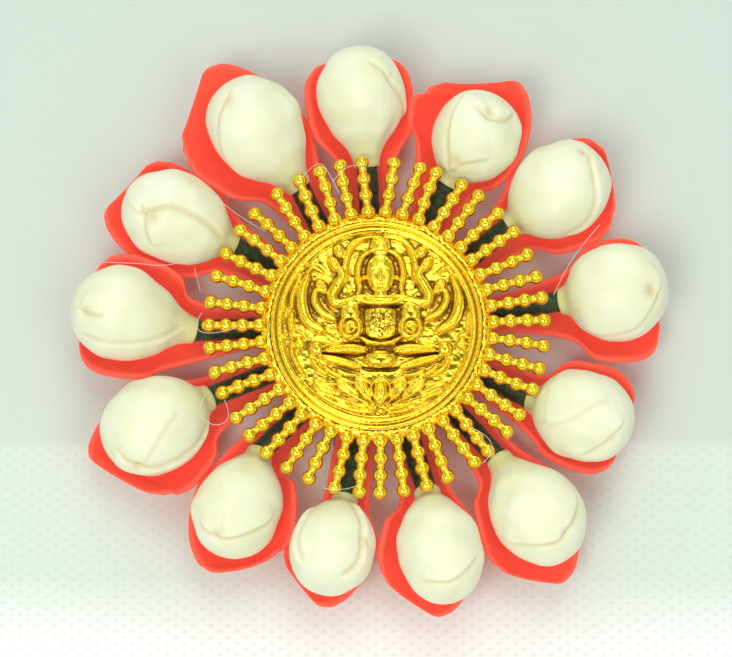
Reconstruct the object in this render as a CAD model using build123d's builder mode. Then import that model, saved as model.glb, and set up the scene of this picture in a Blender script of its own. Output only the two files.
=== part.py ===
from build123d import *

import math
import os
from collections import namedtuple

# Hair bun brooch. Lengths are millimetres and angles are degrees. It lies on its back:
# +Z comes out of its face, +Y is the top of the medal, and the origin is the middle of the
# flat back. A bearing is counted counter-clockwise from +X, seen from the front.

# Small clearances between pieces
seat_gap = 0.12
bud_gap = 0.20
fit_gap = 0.10

# Hair pin: a round plate, and two prongs along -Y that stand in a flat bar at its lower edge
plate_r = 10.0
plate_thickness = 2.0
plate_edge = 0.4
prong_r = 0.6
prong_spacing = 12.0
prong_reach = 40.0
prong_clear = 0.05
bar_width = 14.4
bar_reach = 11.0
bar_height = 1.4

# Stems: green wrapped wire under the medal, one to each bud
stem_r = 1.7
stem_start_r = 9.0
stem_z = 6.5
stem_count = 13
stem_phase = 9.3

# Medal: a cast disc with two rim ridges
medal_r = 15.9
medal_edge_height = 3.3
field_drop = 0.75
rim_width = 1.0
ridge_width = 0.8
ridge_height = 0.3
relief_sink = 0.30
halo_r = 4.3
halo_wire_r = 0.45
halo_y = 7.23

# Sunray ring: a collar with beaded rays
ray_count = 43
collar_width = 1.5
collar_height = 1.5
ray_phase = 2.9
ray_wander = 1.6
ray_wander_bearing = 40.0
bead_r = 0.98
tip_bead_r = 1.10
neck_r = 0.62
first_bead_reach = 1.6
bead_pitch = 2.53

# Buds: teardrops wound from petals, with a narrow neck at the stem
bud_length = 18.0
bud_half_width = 7.0
neck_reach = 26.0
bud_neck_half = 1.95
wrap_thickness = 0.30
socket_depth = 0.5

# Petals: foam spoons that carry the buds
petal_wall = 0.9
petal_base_r = 13.0
base_halves = (1.5, 2.4)
base_curls = (47.0, 43.0)

Bud = namedtuple("Bud", "neck_bearing neck_share bearing tilt length width taper wrap_roll wrap_share")
Petal = namedtuple("Petal", "room_ccw room_cw curl_ccw curl_cw reach skew")
Station = namedtuple("Station", "along width curl rise")
Ridge = namedtuple("Ridge", "x0 y0 r0 x1 y1 r1")

# One row a bud: bearing and reach of its neck, where it points, its shares of size, how far
# it tapers to its neck, and where its outer petal wraps it: turned from the top, and how far
# from the axis it begins.
buds = (
    Bud(9.1, 1.095, 6.2, 19.0, 0.92, 1.07, 0.2, -62, 0.30),
    Bud(38.5, 1.006, 33.5, 19.0, 0.97, 1.015, 0.3, -58, 0.42),
    Bud(64.6, 0.975, 57.0, 19.0, 0.87, 0.965, 0.5, 40, 0.35),
    Bud(93.2, 0.991, 95.5, 19.0, 1.03, 0.985, 1.0, -50, 0.30),
    Bud(117.8, 0.970, 127.5, 19.0, 1.09, 1.04, 0.9, 65, 0.35),
    Bud(148.8, 0.975, 158.0, 19.0, 1.03, 0.985, 0.5, -45, 0.10),
    Bud(180.2, 1.064, 169.5, 19.0, 1.07, 1.02, 1.0, 50, 0.25),
    Bud(202.1, 1.050, 210.5, 19.0, 1.00, 1.03, 0.3, 64, 0.30),
    Bud(226.7, 0.980, 250.0, 19.0, 0.98, 0.94, 0.7, -60, 0.40),
    Bud(259.6, 1.006, 256.5, 27.0, 0.89, 0.90, 0.5, 48, 0.45),
    Bud(287.2, 0.985, 281.0, 27.0, 1.05, 0.90, 0.6, -40, 0.50),
    Bud(313.2, 1.032, 302.0, 19.0, 1.06, 0.96, 0.8, -64, 0.32),
    Bud(335.6, 0.978, 339.5, 19.0, 0.92, 0.98, 0.3, -45, 0.25),
)

# One row a petal, in the buds' order: room each side of the bud as a share of its half
# width, how far each side curls up, and the end's reach past the bud and its skew.
petals = (
    Petal(0.93, 1.22, 78, 70, -0.08, 0.00),
    Petal(0.92, 1.03, 58, 57, 0.00, -0.35),
    Petal(1.35, 1.00, 80, 70, 0.06, 0.52),
    Petal(1.02, 0.99, 76, 58, -0.06, 0.00),
    Petal(1.26, 0.95, 70, 49, 0.07, 0.66),
    Petal(1.00, 0.94, 52, 46, 0.03, -0.30),
    Petal(1.12, 1.08, 74, 80, -0.09, 0.00),
    Petal(1.20, 0.85, 72, 45, 0.03, 0.45),
    Petal(1.03, 0.98, 71, 50, 0.00, 0.52),
    Petal(0.90, 0.76, 48, 34, -0.06, -0.50),
    Petal(0.88, 1.04, 50, 80, -0.08, -0.72),
    Petal(0.86, 0.98, 37, 84, -0.03, -0.74),
    Petal(1.05, 0.97, 62, 74, -0.05, 0.00),
)

# Stations of a petal past the stem: the share of the bud's length, and shares of the
# half width, of the curl and of the rise to the end.
stations = (
    Station(0.05, 0.54, 0.80, 0.13),
    Station(0.28, 0.93, 0.95, 0.00),
    Station(0.52, 1.05, 1.00, 0.00),
    Station(0.74, 1.06, 0.95, 0.20),
    Station(0.89, 0.98, 0.86, 0.50),
    Station(0.98, 0.82, 0.74, 0.80),
    Station(1.03, 0.58, 0.60, 0.95),
)
petal_rise = 5.6
section_lean = 0.15
under_share = 0.72

# Half width of a bud along its length, as shares, and how much less it is where a bud tapers
bud_profile = (
    (0.00, 0.27, 0.00), (0.08, 0.36, 0.03), (0.18, 0.72, 0.25), (0.32, 0.94, 0.19), (0.52, 1.00, 0.02),
    (0.72, 0.93, -0.02), (0.88, 0.70, 0.00), (0.965, 0.42, 0.00), (1.00, 0.00, 0.00),
)

# Lean of each ray's tip from its own bearing, cast a little uneven
tip_leans = (
    0.0, -0.3, -1.2, -1.0, -0.3, -0.2, 0.7, -0.9, 0.3, -2.6, -1.8, 1.0, -0.2, -1.5, -2.6,
    -2.0, 0.1, -1.0, -0.2, -0.1, 0.7, 0.0, -0.6, -0.3, -1.5, 0.0, -1.2, -1.1, -0.7, -0.7,
    0.2, 0.8, -0.9, -0.9, -1.2, -1.7, 0.8, -1.5, -0.5, -1.5, 0.5, -0.2, -0.8,
)

# Relief of the medal: a crowned figure seated on a lotus, as tapered ridges in shares of
# the medal's radius. The paired ridges stand on both sides of the figure.
figure_shift = 0.03
centre_ridges = (
    Ridge(0.0, 0.42, 0.105, 0.0, 0.50, 0.125),
    Ridge(0.0, 0.62, 0.10, 0.0, 0.82, 0.035),
    Ridge(0.0, 0.32, 0.06, 0.0, 0.24, 0.08),
    Ridge(0.0, 0.12, 0.18, 0.0, -0.10, 0.15),
    Ridge(0.0, -0.26, 0.09, 0.0, -0.42, 0.12),
    Ridge(0.0, -0.56, 0.07, 0.0, -0.70, 0.03),
    Ridge(0.0, -0.80, 0.03, 0.0, -0.85, 0.02),
)
paired_ridges = (
    Ridge(0.15, 0.62, 0.03, 0.19, 0.44, 0.03),
    Ridge(0.20, 0.19, 0.09, 0.33, 0.04, 0.07),
    Ridge(0.22, -0.01, 0.08, 0.23, -0.03, 0.075),
    Ridge(0.24, 0.26, 0.055, 0.40, 0.33, 0.050),
    Ridge(0.41, 0.35, 0.045, 0.46, 0.47, 0.035),
    Ridge(0.47, 0.52, 0.065, 0.49, 0.60, 0.03),
    Ridge(0.39, 0.55, 0.035, 0.36, 0.64, 0.02),
    Ridge(0.56, 0.50, 0.035, 0.62, 0.56, 0.02),
    Ridge(0.05, -0.17, 0.035, 0.17, -0.14, 0.03),
    Ridge(0.12, -0.23, 0.11, 0.48, -0.25, 0.085),
    Ridge(0.50, -0.33, 0.075, 0.17, -0.42, 0.07),
    Ridge(0.60, -0.40, 0.03, 0.30, -0.51, 0.035),
    Ridge(0.12, -0.57, 0.045, 0.17, -0.69, 0.02),
    Ridge(0.25, -0.57, 0.045, 0.36, -0.68, 0.02),
    Ridge(0.40, -0.53, 0.045, 0.60, -0.62, 0.02),
    Ridge(0.13, -0.79, 0.03, 0.28, -0.77, 0.025),
    Ridge(0.72, 0.42, 0.035, 0.79, 0.20, 0.045),
    Ridge(0.80, 0.17, 0.050, 0.74, -0.08, 0.03),
    Ridge(0.57, 0.33, 0.035, 0.64, 0.16, 0.045),
    Ridge(0.65, 0.13, 0.050, 0.52, -0.08, 0.035),
    Ridge(0.77, -0.20, 0.035, 0.70, -0.38, 0.03),
)

# Heights that follow from the sizes above
medal_back_z = stem_z + stem_r + seat_gap
medal_top_z = medal_back_z + medal_edge_height
field_z = medal_top_z - field_drop
collar_inner_r = medal_r + fit_gap
collar_outer_r = collar_inner_r + collar_width
ray_z = medal_back_z + medal_edge_height - 0.5 * collar_height
petal_base_z = plate_thickness + seat_gap + petal_wall


def polar(radius, bearing, height):
    return Vector(
        radius * math.cos(math.radians(bearing)),
        radius * math.sin(math.radians(bearing)),
        height,
    )


def base_bearing(index):
    return stem_phase + index * 360.0 / stem_count


def neck_point(bud):
    return polar(neck_reach * bud.neck_share, bud.neck_bearing, stem_z)


def bud_axis(bud):
    return polar(math.cos(math.radians(bud.tilt)), bud.bearing, math.sin(math.radians(bud.tilt)))


def bud_plane(bud):
    """Plane through the bud's axis, which is the plane's own X axis."""
    side = polar(1.0, bud.bearing - 90.0, 0.0)
    return Plane(origin=neck_point(bud), x_dir=bud_axis(bud), z_dir=side)


def bud_shares(bud):
    """Places along a bud, and its half width there as a share of the widest."""
    return [(along, share - bud.taper * cut) for along, share, cut in bud_profile]


def bud_underside(bud):
    """The lower outline of a bud, seen from its side: distance from the neck, and height."""
    length = bud_length * bud.length
    half = bud_half_width * bud.width
    rise = math.sin(math.radians(bud.tilt))
    level = math.cos(math.radians(bud.tilt))
    outline = []
    for along, share in bud_shares(bud):
        distance = along * length * level + share * half * rise
        height = stem_z + along * length * rise - share * half * level
        outline.append((distance, height))
    return outline


def wrap_plane(bud):
    """Plane along a bud's axis that cuts its outer petal, which lies on the plane's far side."""
    turn = math.radians(bud.wrap_roll)
    across = polar(1.0, bud.bearing + 90.0, 0.0)
    above = bud_axis(bud).cross(across)
    outward = above * math.cos(turn) + across * math.sin(turn)
    depth = bud.wrap_share * bud_half_width * bud.width
    return Plane(origin=neck_point(bud) + outward * depth, x_dir=bud_axis(bud), z_dir=outward)


def room_under(bud, distance):
    """Height of a bud's underside at a distance from its neck."""
    outline = bud_underside(bud)
    for (near, near_z), (far, far_z) in zip(outline, outline[1:]):
        if near <= distance <= far:
            return near_z + (far_z - near_z) * (distance - near) / (far - near)
    return outline[-1][1]


def bud_half_profile(bud, inset):
    """The half outline that a bud is turned from, inside its full size by the given amount."""
    length = bud_length * bud.length
    half = bud_half_width * bud.width
    points = [(along * length, share * half - inset) for along, share in bud_shares(bud)[1:-1]]
    start = (0.0, bud_neck_half - inset)
    end = (length - inset, 0.0)
    with BuildSketch(bud_plane(bud)) as profile:
        with BuildLine():
            Spline(start, *points, end)
            Line(end, (0, 0))
            Line((0, 0), start)
        make_face()
    return profile.sketch


# Hair pin
with BuildPart() as hair_pin:
    with BuildSketch():
        Circle(plate_r)
    extrude(amount=plate_thickness)
    fillet(hair_pin.edges().group_by(Axis.Z)[-1], plate_edge)
    with Locations((0, -bar_reach, 0)):
        Box(
            bar_width,
            bar_reach - 0.5 * plate_r,
            bar_height,
            align=(Align.CENTER, Align.MIN, Align.MIN),
        )
    for side in (-1, 1):
        root = (side * 0.5 * prong_spacing, -0.5 * plate_r, prong_r + prong_clear)
        with BuildSketch(Plane(origin=root, x_dir=(1, 0, 0), z_dir=(0, -1, 0))):
            Circle(prong_r)
        extrude(amount=prong_reach - 0.5 * plate_r - prong_r)
        with Locations((root[0], -(prong_reach - prong_r), root[2])):
            Sphere(prong_r)
hair_pin.part.label = "hair_pin"

# Stems
stem_parts = []
for index, bud in enumerate(buds):
    start = polar(stem_start_r, base_bearing(index), stem_z)
    reach = neck_point(bud) - start
    with BuildPart() as stem:
        with BuildSketch(Plane(origin=start, z_dir=reach)):
            Circle(stem_r)
        extrude(amount=reach.length + socket_depth - seat_gap)
    stem.part.label = f"stem_{index + 1:02d}"
    stem_parts.append(stem.part)

# Buds
bud_parts = []
for index, bud in enumerate(buds):
    start = polar(stem_start_r, base_bearing(index), stem_z)
    reach = neck_point(bud) - start
    with BuildPart() as flower:
        axis = Axis(neck_point(bud), bud_axis(bud))
        revolve(bud_half_profile(bud, 0.0), axis=axis)
        split(bisect_by=wrap_plane(bud), keep=Keep.TOP)
        revolve(bud_half_profile(bud, wrap_thickness), axis=axis)
        with BuildSketch(Plane(origin=neck_point(bud) - reach.normalized(), z_dir=reach)):
            Circle(stem_r + seat_gap)
        extrude(amount=1.0 + socket_depth, mode=Mode.SUBTRACT)
    flower.part.label = f"bud_{index + 1:02d}"
    bud_parts.append(flower.part)


def petal_section(origin, tangent, side_ccw, side_cw, curl_ccw, curl_cw):
    """One section of a petal: two arcs that meet at its floor, with a wall outside them."""
    level = Vector(tangent.X, tangent.Y, 0.0).normalized()
    lateral = Vector(-level.Y, level.X, 0.0)
    round_ccw = side_ccw / math.sin(math.radians(min(curl_ccw, 90.0)))
    round_cw = side_cw / math.sin(math.radians(min(curl_cw, 90.0)))
    with BuildSketch(Plane(origin=origin, x_dir=lateral, z_dir=tangent)) as section:
        with BuildLine():
            inner_ccw = CenterArc((0, round_ccw), round_ccw, -90, curl_ccw)
            outer_ccw = CenterArc((0, round_ccw), round_ccw + petal_wall, -90, curl_ccw)
            inner_cw = CenterArc((0, round_cw), round_cw, -90, -curl_cw)
            outer_cw = CenterArc((0, round_cw), round_cw + petal_wall, -90, -curl_cw)
            Line(inner_ccw @ 1, outer_ccw @ 1)
            Line(inner_cw @ 1, outer_cw @ 1)
        make_face()
    return section.sketch


def petal_path(index):
    """Floor points of a petal, from its base under the medal to its end past the bud."""
    bud = buds[index]
    row = petals[index]
    neck = neck_point(bud)
    floor_z = min(height for _, height in bud_underside(bud)) - bud_gap
    length = bud_length * bud.length * math.cos(math.radians(bud.tilt))
    outward = polar(1.0, bud.bearing, 0.0)
    across = polar(1.0, bud.bearing + 90.0, 0.0)
    base = polar(petal_base_r, base_bearing(index), petal_base_z)
    middle = (base + neck) * 0.5
    points = [base, Vector(middle.X, middle.Y, 0.7 * petal_base_z + 0.3 * floor_z)]
    for station in stations:
        along = station.along * (1.0 + row.reach) * length
        skew = row.skew * bud_half_width * station.along**3
        room = room_under(bud, along) - bud_gap - floor_z
        height = floor_z + min(station.rise * petal_rise, under_share * room)
        points.append(Vector(neck.X, neck.Y, height) + outward * along + across * skew)
    return points


def petal_sections(index):
    """All sections of a petal, from its base under the medal to its end past the bud."""
    row = petals[index]
    points = petal_path(index)
    hug = bud_half_width * buds[index].width + bud_gap
    sections = []
    for place, point in enumerate(points):
        before = points[max(place - 1, 0)]
        after = points[min(place + 1, len(points) - 1)]
        run = after - before
        tangent = Vector(run.X, run.Y, section_lean * run.Z).normalized()
        if place < len(base_halves):
            half = base_halves[place]
            sizes = (half, half, *base_curls)
        else:
            station = stations[place - len(base_halves)]
            sizes = (
                hug * row.room_ccw * station.width,
                hug * row.room_cw * station.width,
                row.curl_ccw * station.curl,
                row.curl_cw * station.curl,
            )
        sections.append(petal_section(point, tangent, *sizes))
    return sections


# Petals
petal_parts = []
for index in range(len(petals)):
    with BuildPart() as petal:
        loft(petal_sections(index), ruled=True)
    petal.part.label = f"petal_{index + 1:02d}"
    petal_parts.append(petal.part)

# One beaded ray, along +X from the collar
with BuildPart() as ray:
    beads = [first_bead_reach - collar_width + bead_pitch * step for step in range(4)]
    with BuildSketch(Plane.XY):
        with Locations((0.5 * beads[-1] - 0.4, 0)):
            Rectangle(beads[-1] + 0.8, 2.0 * neck_r)
        for step, reach in enumerate(beads):
            with Locations((reach, 0)):
                Circle(tip_bead_r if step == 3 else bead_r)
        with Locations((0.5 * beads[-1], bead_pitch)):
            Rectangle(beads[-1] * 4.0, 2.0 * bead_pitch, mode=Mode.INTERSECT)
    revolve(axis=Axis.X)


def ray_place(index):
    """Location of one ray: on the collar at its bearing, its tip leaning to one side."""
    even = ray_phase + index * 360.0 / ray_count
    bearing = even - ray_wander * math.cos(math.radians(even - ray_wander_bearing))
    root = polar(collar_outer_r, bearing, ray_z)
    return Location(tuple(root), (0, 0, bearing + 2.9 * tip_leans[index]))


# Sunray ring
with BuildPart() as ray_ring:
    with BuildSketch(Plane.XY.offset(ray_z - 0.5 * collar_height)):
        Circle(collar_outer_r)
        Circle(collar_inner_r, mode=Mode.SUBTRACT)
    extrude(amount=collar_height)
    with Locations(*[ray_place(index) for index in range(ray_count)]):
        add(ray.part)
ray_ring.part.label = "ray_ring"


def ridge_profile(ridge, mirror):
    """Half outline and axis of one tapered ridge of the relief, sunk in the medal's field."""
    start = Vector(
        (figure_shift + mirror * ridge.x0) * medal_r,
        ridge.y0 * medal_r,
        field_z - relief_sink * ridge.r0 * medal_r,
    )
    end = Vector(
        (figure_shift + mirror * ridge.x1) * medal_r,
        ridge.y1 * medal_r,
        field_z - relief_sink * ridge.r1 * medal_r,
    )
    span = (end - start).length
    plane = Plane(origin=start, x_dir=end - start, z_dir=Vector(0, 0, 1).cross(end - start))
    with BuildSketch(plane) as profile:
        Circle(ridge.r0 * medal_r)
        with Locations((span, 0)):
            Circle(ridge.r1 * medal_r)
        make_hull()
        with Locations((0, 2.0 * medal_r)):
            Rectangle(8.0 * medal_r, 4.0 * medal_r, mode=Mode.INTERSECT)
    return profile.sketch, Axis(plane.origin, plane.x_dir)


# Medal
with BuildPart() as medallion:
    with BuildSketch(Plane.XZ):
        with BuildLine():
            Polyline(
                (0, medal_back_z),
                (medal_r, medal_back_z),
                (medal_r, medal_top_z),
                (medal_r - rim_width, medal_top_z),
                (medal_r - rim_width - 0.2, field_z + ridge_height * 0.4),
                (medal_r - rim_width - ridge_width, field_z + ridge_height),
                (medal_r - rim_width - ridge_width - 0.5, field_z),
                (0, field_z),
                close=True,
            )
        make_face()
    revolve(axis=Axis.Z)
    for ridge in centre_ridges:
        profile, axis = ridge_profile(ridge, 1)
        revolve(profile, axis=axis)
    for ridge in paired_ridges:
        for mirror in (-1, 1):
            profile, axis = ridge_profile(ridge, mirror)
            revolve(profile, axis=axis)
    with Locations((figure_shift * medal_r, halo_y, field_z)):
        Torus(halo_r, halo_wire_r)
    split(bisect_by=Plane.XY.offset(medal_back_z), keep=Keep.TOP)
medallion.part.label = "medallion"

os.makedirs("parts", exist_ok=True)
for piece in (medallion.part, ray_ring.part, hair_pin.part, *stem_parts, *bud_parts, *petal_parts):
    export_step(piece, f"parts/{piece.label}.step")
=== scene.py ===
import math
from collections import namedtuple

import bpy
import numpy as np
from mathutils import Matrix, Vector


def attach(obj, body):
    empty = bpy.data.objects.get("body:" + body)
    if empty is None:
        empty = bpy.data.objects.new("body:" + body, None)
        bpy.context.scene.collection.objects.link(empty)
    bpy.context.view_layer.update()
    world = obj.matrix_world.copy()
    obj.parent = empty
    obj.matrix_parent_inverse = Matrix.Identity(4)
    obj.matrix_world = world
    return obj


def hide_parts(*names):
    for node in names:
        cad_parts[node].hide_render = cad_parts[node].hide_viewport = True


# Hair bun brooch. Shapes are worked out in millimetres in the frame of the solids: +Z comes
# out of the face, +Y is the top of the medal, and the origin is the middle of the flat back.
# A bearing is counted counter-clockwise from +X. Meshes are made in metres.
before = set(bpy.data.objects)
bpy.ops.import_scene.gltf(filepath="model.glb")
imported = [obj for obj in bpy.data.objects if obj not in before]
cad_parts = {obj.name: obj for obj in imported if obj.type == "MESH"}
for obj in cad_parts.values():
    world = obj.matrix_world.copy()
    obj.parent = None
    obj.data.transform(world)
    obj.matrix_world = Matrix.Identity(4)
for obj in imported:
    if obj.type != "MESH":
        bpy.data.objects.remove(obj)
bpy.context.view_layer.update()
MM = 0.001
BODY = "root"

# Sizes that the solids have too
seat_gap = 0.12
bud_gap = 0.20
stem_r = 1.7
stem_start_r = 9.0
stem_z = 6.5
stem_count = 13
stem_phase = 9.3
medal_r = 15.9
medal_edge_height = 3.3
field_drop = 0.75
ray_count = 43
collar_width = 1.5
collar_height = 1.5
ray_phase = 2.9
ray_wander = 1.6
ray_wander_bearing = 40.0
tip_bead_r = 1.10
first_bead_reach = 1.6
bead_pitch = 2.53
bud_length = 18.0
bud_half_width = 7.0
neck_reach = 26.0
bud_neck_half = 1.95
petal_wall = 0.9
petal_base_r = 13.0
petal_base_z = 3.02
base_halves = (1.5, 2.4)
base_curls = (47.0, 43.0)
petal_rise = 5.6
section_lean = 0.15
under_share = 0.72

medal_back_z = stem_z + stem_r + seat_gap
medal_top_z = medal_back_z + medal_edge_height
field_z = medal_top_z - field_drop
collar_inner_r = medal_r + 0.10
collar_outer_r = collar_inner_r + collar_width
ray_z = medal_top_z - 0.5 * collar_height

Bud = namedtuple("Bud", "neck_bearing neck_share bearing tilt length width taper")
Petal = namedtuple("Petal", "room_ccw room_cw curl_ccw curl_cw reach skew")
Station = namedtuple("Station", "along width curl rise")
Fold = namedtuple("Fold", "bud height spread line")
Dent = namedtuple("Dent", "bud along turn radius depth stain")
Dome = namedtuple("Dome", "x y rx ry turn height")
Stroke = namedtuple("Stroke", "width height line")
Bumps = namedtuple("Bumps", "height cell seed")
Lamp = namedtuple("Lamp", "name azimuth elevation distance size power")

# Buds and petals, the same rows that the solids are made from
buds = (
    Bud(9.1, 1.095, 6.2, 19.0, 0.92, 1.07, 0.2),
    Bud(38.5, 1.006, 33.5, 19.0, 0.97, 1.015, 0.3),
    Bud(64.6, 0.975, 57.0, 19.0, 0.87, 0.965, 0.5),
    Bud(93.2, 0.991, 95.5, 19.0, 1.03, 0.985, 1.0),
    Bud(117.8, 0.970, 127.5, 19.0, 1.09, 1.04, 0.9),
    Bud(148.8, 0.975, 158.0, 19.0, 1.03, 0.985, 0.5),
    Bud(180.2, 1.064, 169.5, 19.0, 1.07, 1.02, 1.0),
    Bud(202.1, 1.050, 210.5, 19.0, 1.00, 1.03, 0.3),
    Bud(226.7, 0.980, 250.0, 19.0, 0.98, 0.94, 0.7),
    Bud(259.6, 1.006, 256.5, 27.0, 0.89, 0.90, 0.5),
    Bud(287.2, 0.985, 281.0, 27.0, 1.05, 0.90, 0.6),
    Bud(313.2, 1.032, 302.0, 19.0, 1.06, 0.96, 0.8),
    Bud(335.6, 0.978, 339.5, 19.0, 0.92, 0.98, 0.3),
)
petals = (
    Petal(0.93, 1.22, 78, 70, -0.08, 0.00),
    Petal(0.92, 1.03, 58, 57, 0.00, -0.35),
    Petal(1.35, 1.00, 80, 70, 0.06, 0.52),
    Petal(1.02, 0.99, 76, 58, -0.06, 0.00),
    Petal(1.26, 0.95, 70, 49, 0.07, 0.66),
    Petal(1.00, 0.94, 52, 46, 0.03, -0.30),
    Petal(1.12, 1.08, 74, 80, -0.09, 0.00),
    Petal(1.20, 0.85, 72, 45, 0.03, 0.45),
    Petal(1.03, 0.98, 71, 50, 0.00, 0.52),
    Petal(0.90, 0.76, 48, 34, -0.06, -0.50),
    Petal(0.88, 1.04, 50, 80, -0.08, -0.72),
    Petal(0.86, 0.98, 37, 84, -0.03, -0.74),
    Petal(1.05, 0.97, 62, 74, -0.05, 0.00),
)
stations = (
    Station(0.05, 0.54, 0.80, 0.13),
    Station(0.28, 0.93, 0.95, 0.00),
    Station(0.52, 1.05, 1.00, 0.00),
    Station(0.74, 1.06, 0.95, 0.20),
    Station(0.89, 0.98, 0.86, 0.50),
    Station(0.98, 0.82, 0.74, 0.80),
    Station(1.03, 0.58, 0.60, 0.95),
)
bud_profile = (
    (0.00, 0.27, 0.00), (0.08, 0.36, 0.03), (0.18, 0.72, 0.25), (0.32, 0.94, 0.19), (0.52, 1.00, 0.02),
    (0.72, 0.93, -0.02), (0.88, 0.70, 0.00), (0.965, 0.42, 0.00), (1.00, 0.00, 0.00),
)
tip_leans = (
    0.0, -0.3, -1.2, -1.0, -0.3, -0.2, 0.7, -0.9, 0.3, -2.6, -1.8, 1.0, -0.2, -1.5, -2.6,
    -2.0, 0.1, -1.0, -0.2, -0.1, 0.7, 0.0, -0.6, -0.3, -1.5, 0.0, -1.2, -1.1, -0.7, -0.7,
    0.2, 0.8, -0.9, -0.9, -1.2, -1.7, 0.8, -1.5, -0.5, -1.5, 0.5, -0.2, -0.8,
)

# Lips of the outer petals of each bud: a raised edge along a line of places on the bud, each
# a share of its length and a turn from its top. The raised petal is on the line's left.
folds = (
    Fold(0, 0.45, 4.0, ((0.16, -60), (0.45, -66), (0.75, -58), (0.93, -30), (0.97, 10), (0.90, 40))),
    Fold(0, 0.30, 3.0, ((0.86, 52), (0.62, 66), (0.34, 60), (0.14, 50))),
    Fold(1, 0.45, 3.0, ((0.98, 40), (0.93, -5), (0.84, -45), (0.62, -72), (0.34, -78))),
    Fold(2, 0.55, 3.0, ((0.95, 62), (0.72, 44), (0.50, 30), (0.30, 14), (0.14, 2))),
    Fold(2, 0.50, 2.2, ((0.84, 22), (0.82, -6), (0.86, -30), (0.95, -60))),
    Fold(2, 0.35, 2.0, ((0.12, 6), (0.24, -4), (0.36, -20), (0.46, -40))),
    Fold(3, 0.45, 3.0, ((0.90, -20), (0.80, -40), (0.68, -48), (0.52, -72), (0.34, -92))),
    Fold(4, 0.50, 3.4, ((0.95, -20), (0.93, 12), (0.85, 38), (0.68, 62), (0.46, 76), (0.26, 80))),
    Fold(5, 0.62, 4.5, ((0.86, 34), (0.84, 18), (0.70, -2), (0.52, -6), (0.32, -4), (0.10, 4))),
    Fold(5, 0.40, 2.0, ((0.88, 10), (0.84, 26), (0.76, 44), (0.64, 62))),
    Fold(6, 0.40, 2.6, ((0.97, 20), (0.88, 20), (0.80, 14))),
    Fold(6, 0.35, 3.0, ((0.10, 6), (0.28, 34), (0.52, 46), (0.77, 58), (0.92, 80))),
    Fold(7, 0.50, 3.0, ((0.12, 56), (0.30, 66), (0.52, 68), (0.73, 72), (0.86, 72), (0.95, 58), (0.99, 20))),
    Fold(7, 0.22, 4.0, ((0.88, 66), (0.76, 38), (0.60, 18), (0.42, 6))),
    Fold(8, 0.50, 2.6, ((0.84, -66), (0.92, -34), (0.94, 0), (0.88, 30), (0.74, 50), (0.52, 66))),
    Fold(8, 0.22, 3.0, ((0.94, -4), (0.86, -10), (0.74, -12))),
    Fold(9, 0.55, 2.4, ((0.12, 18), (0.34, 34), (0.60, 44), (0.82, 52), (0.95, 40))),
    Fold(9, 0.45, 2.4, ((0.90, -52), (0.70, -58), (0.46, -54), (0.26, -50))),
    Fold(10, 0.36, 3.0, ((0.86, -60), (0.93, -24), (0.94, 10), (0.88, 40), (0.74, 62))),
    Fold(11, 0.50, 3.0, ((0.60, -76), (0.74, -60), (0.86, -36), (0.92, -6), (0.88, 26), (0.76, 52),
                         (0.56, 66))),
    Fold(12, 0.26, 4.0, ((0.30, -40), (0.48, -22), (0.66, 2), (0.82, 30))),
    Fold(12, 0.45, 2.6, ((0.50, -78), (0.72, -64), (0.86, -44), (0.94, -16), (0.96, 20))),
)

# Small openings and pinches between the petals of a bud, each also painted with shade
dents = (
    Dent(0, 0.90, -18, 1.1, 0.55, 1.0),
    Dent(1, 0.93, 30, 0.9, 0.50, 0.9),
    Dent(2, 0.84, -4, 1.2, 0.70, 0.8),
    Dent(2, 0.28, 2, 1.3, 0.35, 0.7),
    Dent(3, 0.74, -46, 1.0, 0.45, 0.6),
    Dent(4, 0.90, 22, 1.4, 0.40, 0.7),
    Dent(5, 0.80, 22, 1.6, 0.60, 0.6),
    Dent(6, 0.93, 21, 1.0, 0.45, 0.5),
    Dent(7, 0.88, 68, 1.0, 0.55, 1.0),
    Dent(8, 0.93, -14, 1.0, 0.45, 0.6),
    Dent(9, 0.56, 46, 0.9, 0.35, 0.8),
    Dent(11, 0.90, 18, 0.9, 0.45, 0.6),
    Dent(12, 0.92, -38, 1.0, 0.45, 0.6),
)

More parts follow.
